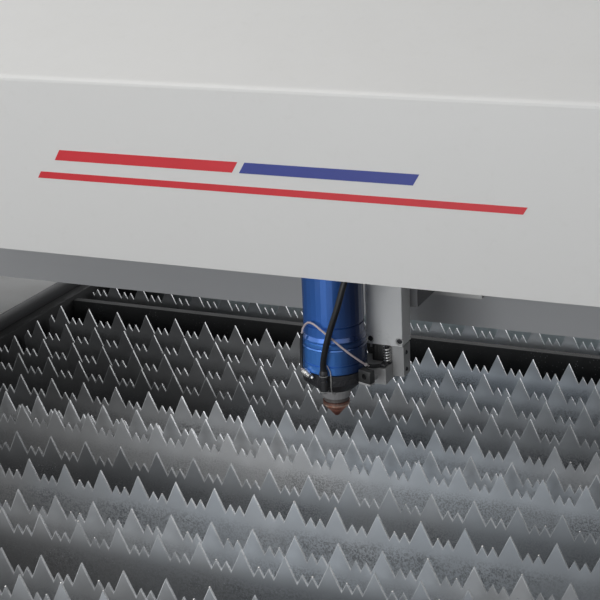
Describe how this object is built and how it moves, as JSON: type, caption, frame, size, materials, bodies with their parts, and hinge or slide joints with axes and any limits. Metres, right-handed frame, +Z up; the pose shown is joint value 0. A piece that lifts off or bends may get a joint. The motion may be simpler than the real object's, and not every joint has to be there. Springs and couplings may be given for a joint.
{
  "type": "gantry fiber laser cutting machine",
  "caption": "Flatbed cutting machine: a hooded gantry carries a lifting laser head over a bed of sawtooth slats, with a scrap drawer below.",
  "frame": {"origin": "on the floor, under the middle of the whole machine", "axes": "+X along the gantry to the right, +Y towards the back, +Z up"},
  "size_m": [1.48, 1.18, 1.22],
  "materials": {
    "white_paint": "warm white powder coat, satin",
    "grey_paint": "mid grey paint, satin",
    "dark_paint": "black paint under cutting dust",
    "zinc_steel": "galvanised sheet with bright cut edges and dust",
    "ground_steel": "ground steel",
    "satin_aluminium": "bead-blasted, satin",
    "blue_anodised": "blue anodised, turned",
    "black_plastic": "moulded black",
    "black_hose": "smooth black hose",
    "cable_skin": "pale pink jacket",
    "copper": "turned copper",
    "red_plastic": "moulded red",
    "yellow_plastic": "moulded yellow"
  },
  "bodies": {
    "base": {"base_frame": "grey_paint", "bed_trough": "dark_paint", "bed_cover_left": "white_paint", "bed_cover_right": "white_paint", "front_panel": "white_paint", "rear_panel": "white_paint", "left_panel": "white_paint", "right_panel": "white_paint", "rear_deck": "white_paint", "comb_left": "dark_paint", "comb_right": "dark_paint", "cross_bar": "dark_paint", "y_rail_left": "ground_steel", "y_rail_right": "ground_steel", "y_motor_left": "black_plastic", "y_motor_right": "black_plastic", "laser_source": "dark_paint", "stop_housing": "yellow_plastic", "slat_01": "zinc_steel", "slat_02": "zinc_steel", "slat_03": "zinc_steel", "slat_04": "zinc_steel", "slat_05": "zinc_steel", "slat_06": "zinc_steel", "slat_07": "zinc_steel", "slat_08": "zinc_steel", "slat_09": "zinc_steel", "slat_10": "zinc_steel", "slat_11": "zinc_steel", "slat_12": "zinc_steel", "slat_13": "zinc_steel", "slat_14": "zinc_steel"},
    "drawer": {"scrap_drawer": "grey_paint"},
    "door": {"cabinet_door": "white_paint"},
    "stop": {"stop_button": "red_plastic"},
    "left_screw": {"y_screw_left": "ground_steel"},
    "right_screw": {"y_screw_right": "ground_steel"},
    "gantry": {"gantry_beam": "grey_paint", "x_rail_lower": "ground_steel", "x_rail_upper": "ground_steel", "gantry_end_left": "grey_paint", "gantry_end_right": "grey_paint", "hood": "white_paint", "x_motor": "black_plastic"},
    "cross_screw": {"x_screw": "ground_steel"},
    "carriage": {"carriage_plate": "satin_aluminium", "z_housing": "satin_aluminium", "z_motor": "black_plastic"},
    "lift_screw": {"z_screw": "ground_steel"},
    "cutting_head": {"z_slide": "grey_paint", "z_cover": "satin_aluminium", "head_upper": "blue_anodised", "head_lower": "blue_anodised", "lens_ring": "black_plastic", "sensor_cone": "ground_steel", "nozzle": "copper", "gas_hose": "black_hose", "gas_fitting": "black_plastic", "sensor_cable": "cable_skin", "sensor_plug": "ground_steel"}
  },
  "joints": [
    {"name": "gantry_travel", "type": "slide", "parent": "base", "child": "gantry", "axis": [0, 1, 0], "range_m": [-0.33, 0.36]},
    {"name": "left_screw_turn", "type": "hinge", "parent": "base", "child": "left_screw", "pos_m": [-0.668, 0, 0.69], "axis": [0, 1, 0], "continuous": true},
    {"name": "right_screw_turn", "type": "hinge", "parent": "base", "child": "right_screw", "pos_m": [0.668, 0, 0.69], "axis": [0, 1, 0], "continuous": true},
    {"name": "carriage_travel", "type": "slide", "parent": "gantry", "child": "carriage", "axis": [1, 0, 0], "range_m": [-0.42, 0.42]},
    {"name": "cross_screw_turn", "type": "hinge", "parent": "gantry", "child": "cross_screw", "pos_m": [0, 0.0225, 0.955], "axis": [1, 0, 0], "continuous": true},
    {"name": "head_lift", "type": "slide", "parent": "carriage", "child": "cutting_head", "axis": [0, 0, 1], "range_m": [-0.02, 0.06]},
    {"name": "lift_screw_turn", "type": "hinge", "parent": "carriage", "child": "lift_screw", "pos_m": [0.0408, -0.045, 0.93], "axis": [0, 0, 1], "continuous": true},
    {"name": "drawer_pull", "type": "slide", "parent": "base", "child": "drawer", "axis": [0, -1, 0], "range_m": [0, 0.45]},
    {"name": "door_swing", "type": "hinge", "parent": "base", "child": "door", "pos_m": [0.2997, 0.5897, 0.365], "axis": [0, 0, -1], "range_deg": [0, 110]},
    {"name": "stop_press", "type": "slide", "parent": "base", "child": "stop", "axis": [0, 0, -1], "range_m": [0, 0.005], "stiffness_N_per_m": 2000, "springref_m": -0.002}
  ],
  "couplings": [
    {"joint": "left_screw_turn", "follows": "gantry_travel", "rad_per_m": -314.16},
    {"joint": "right_screw_turn", "follows": "gantry_travel", "rad_per_m": -314.16},
    {"joint": "cross_screw_turn", "follows": "carriage_travel", "rad_per_m": -314.16},
    {"joint": "lift_screw_turn", "follows": "head_lift", "rad_per_m": -628.32}
  ]
}
